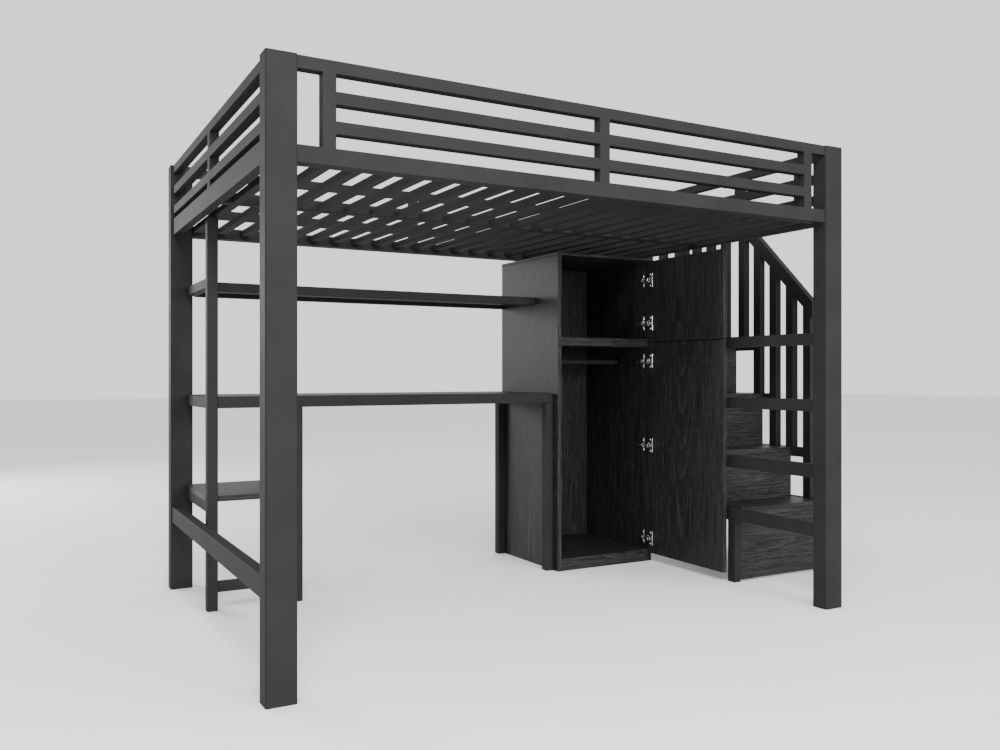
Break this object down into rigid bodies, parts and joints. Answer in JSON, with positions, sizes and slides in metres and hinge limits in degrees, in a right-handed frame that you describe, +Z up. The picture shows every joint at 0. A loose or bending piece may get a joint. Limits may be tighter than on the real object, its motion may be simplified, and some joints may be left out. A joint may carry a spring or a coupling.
{
  "type": "loft bed with desk",
  "caption": "Metal loft bed over a desk, open shelves and a tall wardrobe with hinged doors, reached by a staircase with a balustrade at its end.",
  "frame": {"origin": "centre of the footprint's bounding box, on the floor", "axes": "+X along the bed towards the staircase, +Y towards the back, away from the desk's user, +Z up"},
  "size_m": [2.45, 1.456, 1.601],
  "materials": {
    "black_frame": "satin black powder coat on steel tube",
    "black_oak": "matt black laminate with an oak grain",
    "chrome": "bright plated steel"
  },
  "bodies": {
    "bed": {"deck_middle_beam": "black_frame", "deck_slats_front": "black_frame", "deck_slats_rear": "black_frame", "desk_frame": "black_frame", "desk_left_leg_frame": "black_frame", "desk_right_leg_front": "black_frame", "desk_right_leg_rear": "black_frame", "desk_top": "black_oak", "front_side_frame": "black_frame", "hanging_rod": "black_frame", "hinge_arm_1": "chrome", "hinge_arm_2": "chrome", "hinge_arm_3": "chrome", "hinge_arm_4": "chrome", "hinge_arm_5": "chrome", "landing_guard": "black_frame", "left_end_frame": "black_frame", "left_lower_rail": "black_frame", "long_shelf": "black_oak", "long_shelf_front_rail": "black_frame", "long_shelf_rear_rail": "black_frame", "low_crossbar": "black_frame", "lower_shelf": "black_oak", "post_front_left": "black_frame", "post_front_right": "black_frame", "post_rear_left": "black_frame", "post_rear_right": "black_frame", "rear_side_frame": "black_frame", "right_end_guard": "black_frame", "right_end_rail": "black_frame", "shelf_tower_frame": "black_frame", "stair_inner_rail_1": "black_frame", "stair_inner_rail_2": "black_frame", "stair_inner_rail_3": "black_frame", "stair_inner_rail_4": "black_frame", "stair_outer_frame": "black_frame", "stair_riser_1": "black_oak", "stair_riser_2": "black_oak", "stair_riser_3": "black_oak", "stair_riser_4": "black_oak", "stair_riser_5": "black_oak", "stair_tread_1": "black_oak", "stair_tread_2": "black_oak", "stair_tread_3": "black_oak", "stair_tread_4": "black_oak", "stair_tread_5": "black_oak", "wardrobe_back": "black_oak", "wardrobe_floor": "black_oak", "wardrobe_left_side": "black_oak", "wardrobe_middle_shelf": "black_oak", "wardrobe_plinth": "black_oak", "wardrobe_right_side": "black_oak", "wardrobe_top": "black_oak"},
    "upper_door": {"upper_door": "black_oak", "hinge_cup_4": "chrome", "hinge_cup_5": "chrome"},
    "lower_door": {"lower_door": "black_oak", "hinge_cup_1": "chrome", "hinge_cup_2": "chrome", "hinge_cup_3": "chrome"}
  },
  "joints": [
    {"name": "upper_door_hinge", "type": "hinge", "parent": "bed", "child": "upper_door", "pos_m": [0.69, 0.2185, 1.123], "axis": [0, 0, 1], "range_deg": [-90, 0]},
    {"name": "lower_door_hinge", "type": "hinge", "parent": "bed", "child": "lower_door", "pos_m": [0.69, 0.2185, 0.49], "axis": [0, 0, 1], "range_deg": [-90, 0]}
  ]
}
